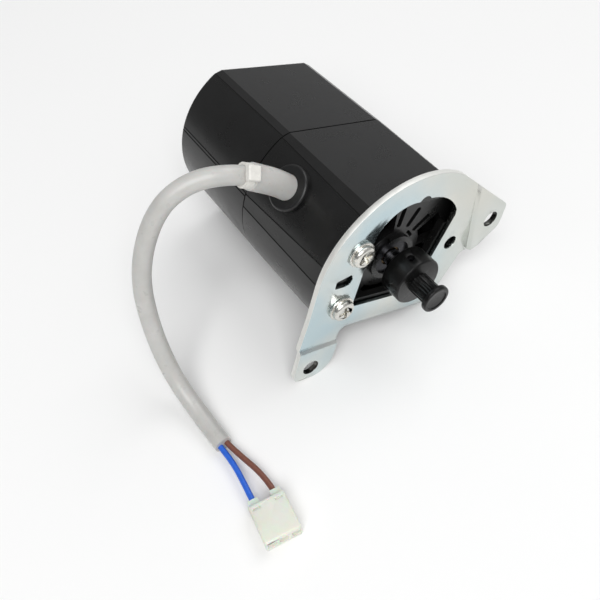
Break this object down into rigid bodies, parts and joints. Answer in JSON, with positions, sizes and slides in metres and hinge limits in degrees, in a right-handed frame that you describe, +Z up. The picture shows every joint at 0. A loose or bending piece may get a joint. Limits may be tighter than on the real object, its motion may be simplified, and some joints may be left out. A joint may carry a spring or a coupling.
{
  "type": "sewing machine motor",
  "caption": "Small brushed motor in a round housing with one flat, an eared mounting plate, a toothed belt pulley and a short lead with a plug.",
  "frame": {"origin": "on the table, under the middle of the motor's own box, without the lead", "axes": "+Z up, the shaft is level and lies along Y with the pulley at -Y, +X is to the right when looking along +Y; the housing is turned 20.5 degrees about the shaft, as it rests on its side"},
  "size_m": [0.1275, 0.134, 0.0749],
  "materials": {
    "black_housing": "black moulded thermoset with a satin surface",
    "zinc_plate": "punched steel sheet, blue-bright zinc plating",
    "zinc_screw": "zinc plated steel",
    "core_steel": "stacked electrical steel laminations",
    "copper_winding": "enamelled copper wire, varnished",
    "shaft_steel": "ground steel",
    "brown_moulding": "brown phenolic moulding",
    "commutator_copper": "turned copper",
    "fan_plastic": "black moulded nylon",
    "pulley_black": "black finished steel",
    "set_screw_steel": "blackened steel",
    "bearing_bronze": "sintered bronze",
    "lead_insulation": "flexible plastic insulation",
    "capacitor_yellow": "moulded film capacitor case",
    "grommet_rubber": "black rubber",
    "brass_holder": "folded brass sheet",
    "carbon": "pressed carbon",
    "spring_steel": "hard drawn steel wire",
    "sheath_grey": "light grey flexible plastic sheath",
    "wire_blue": "blue flexible insulation",
    "wire_brown": "brown flexible insulation",
    "tie_nylon": "natural nylon",
    "connector_nylon": "natural, slightly translucent nylon",
    "terminal_tin": "tinned brass"
  },
  "bodies": {
    "stator": {"front_housing": "black_housing", "rear_housing": "black_housing", "housing_screws": "zinc_screw", "mounting_plate": "zinc_plate", "plate_washers": "zinc_screw", "plate_screws": "zinc_screw", "stator_core": "core_steel", "field_coil_left": "copper_winding", "field_coil_right": "copper_winding", "front_bearing": "bearing_bronze", "rear_bearing": "bearing_bronze", "front_dust_ring": "set_screw_steel", "brush_carrier": "brown_moulding", "internal_leads": "lead_insulation", "suppression_capacitor": "capacitor_yellow", "cable_grommet": "grommet_rubber", "brush_holder_upper": "brass_holder", "brush_spring_upper": "spring_steel", "brush_cap_upper": "brown_moulding", "brush_holder_lower": "brass_holder", "brush_spring_lower": "spring_steel", "brush_cap_lower": "brown_moulding", "cable_sheath": "sheath_grey", "cable_sleeve": "sheath_grey", "wire_blue": "wire_blue", "wire_brown": "wire_brown", "cable_tie": "tie_nylon", "connector_housing": "connector_nylon", "connector_terminals": "terminal_tin"},
    "armature": {"motor_shaft": "shaft_steel", "rotor_core": "core_steel", "armature_winding": "copper_winding", "commutator_hub": "brown_moulding", "commutator_bars": "commutator_copper", "cooling_fan": "fan_plastic", "thrust_washers": "brown_moulding", "drive_pulley": "pulley_black", "pulley_set_screw": "set_screw_steel"},
    "brush_upper": {"carbon_brush_upper": "carbon"},
    "brush_lower": {"carbon_brush_lower": "carbon"}
  },
  "joints": [
    {"name": "armature_spin", "type": "hinge", "parent": "stator", "child": "armature", "pos_m": [-0.00091, 0.00427, 0.03151], "axis": [0, -1, 0], "continuous": true},
    {"name": "brush_upper_slide", "type": "slide", "parent": "stator", "child": "brush_upper", "axis": [0, 0, 1], "range_m": [0, 0.0018], "stiffness_N_per_m": 150, "springref_m": -0.003, "deforming": ["brush_spring_upper"]},
    {"name": "brush_lower_slide", "type": "slide", "parent": "stator", "child": "brush_lower", "axis": [0, 0, -1], "range_m": [0, 0.0018], "stiffness_N_per_m": 150, "springref_m": -0.003, "deforming": ["brush_spring_lower"]}
  ]
}
